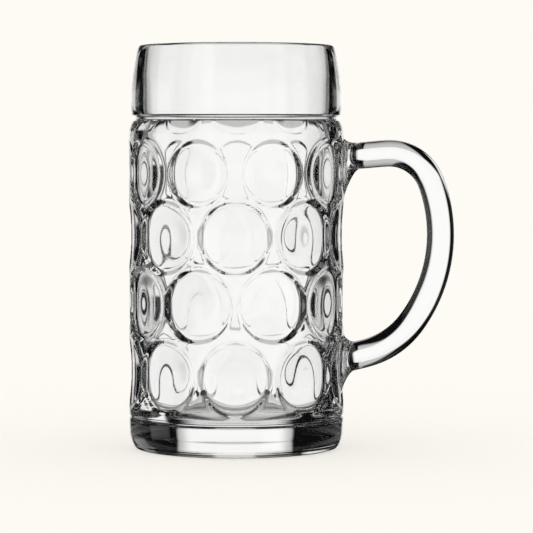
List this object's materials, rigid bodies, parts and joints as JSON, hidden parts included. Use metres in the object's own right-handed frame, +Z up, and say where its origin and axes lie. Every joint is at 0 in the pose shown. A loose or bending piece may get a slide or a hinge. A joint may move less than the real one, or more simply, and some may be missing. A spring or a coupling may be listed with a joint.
{
  "type": "dimpled glass beer mug",
  "caption": "Tall straight-sided clear glass beer mug with staggered rows of round dimples, a plain drinking band, a thick foot and a D-shaped glass rod handle.",
  "frame": {"origin": "centre of the foot on the vessel's axis, on the table plane", "axes": "+Z up along the vessel's axis, +X from the axis towards the handle, -Y faces the viewer of the reference view"},
  "size_m": [0.1619, 0.1068, 0.2],
  "materials": {
    "body_glass": "clear polished soda-lime glass",
    "handle_glass": "clear fire-polished soda-lime glass"
  },
  "bodies": {
    "root": {"mug_body": "body_glass", "handle": "handle_glass", "upper_handle_boss": "handle_glass", "lower_handle_boss": "handle_glass"}
  },
  "joints": []
}
